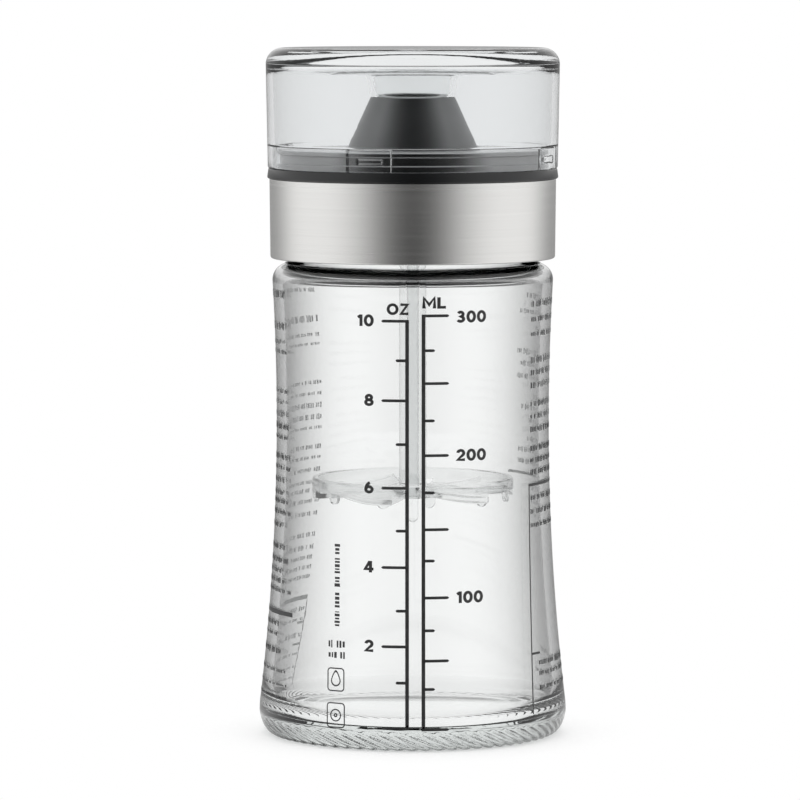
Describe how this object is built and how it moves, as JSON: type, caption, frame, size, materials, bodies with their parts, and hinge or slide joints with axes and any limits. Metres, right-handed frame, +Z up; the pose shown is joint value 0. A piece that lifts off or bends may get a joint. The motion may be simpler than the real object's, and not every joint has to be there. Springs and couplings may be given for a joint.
{
  "type": "salad dressing shaker bottle",
  "caption": "Waisted glass shaker bottle with a screw-on steel-clad pouring head, a clear click-on cap and a hanging mixer disc.",
  "frame": {"origin": "centre of the foot, on the surface that the bottle stands on", "axes": "+Z up along the bottle's axis, -Y towards the side with the printed scale, +X to the right of it"},
  "size_m": [0.0748, 0.0748, 0.1664],
  "materials": {
    "glass": "clear polished soda-lime glass",
    "ink": "black screen-printed ink",
    "seal_grey": "soft matt silicone",
    "dark_plastic": "near-black moulded plastic, semi-gloss",
    "spout_plastic": "charcoal satin moulded plastic",
    "steel": "brushed round the collar",
    "clear_plastic": "clear polished plastic with a faint smoky tint",
    "seal_clear": "milky translucent silicone",
    "mixer_plastic": "clear to frosted moulded plastic"
  },
  "bodies": {
    "bottle": {"glass_bottle": "glass", "glass_neck": "glass"},
    "seal": {"rim_seal": "seal_grey"},
    "mixer": {"mixer_tube": "mixer_plastic", "mixer_pin": "mixer_plastic", "mixer_disc": "mixer_plastic"},
    "head": {"screw_ring": "dark_plastic", "pour_plate": "dark_plastic", "steel_collar": "steel", "deck": "dark_plastic", "spout": "spout_plastic"},
    "cap": {"clear_cap": "clear_plastic", "spout_seal": "seal_clear"}
  },
  "joints": [
    {"name": "head_lift", "type": "slide", "parent": "bottle", "child": "seal", "axis": [0, 0, 1], "range_m": [0, 0.095]},
    {"name": "head_rise", "type": "slide", "parent": "seal", "child": "mixer", "axis": [0, 0, 1], "range_m": [0, 0.0051]},
    {"name": "head_turn", "type": "hinge", "parent": "mixer", "child": "head", "pos_m": [0, 0, 0.12], "axis": [0, 0, 1], "range_deg": [0, 450]},
    {"name": "cap_lift", "type": "slide", "parent": "head", "child": "cap", "axis": [0, 0, 1], "range_m": [0, 0.035]}
  ],
  "couplings": [
    {"joint": "head_rise", "follows": "head_turn", "m_per_rad": 0.00063662}
  ]
}
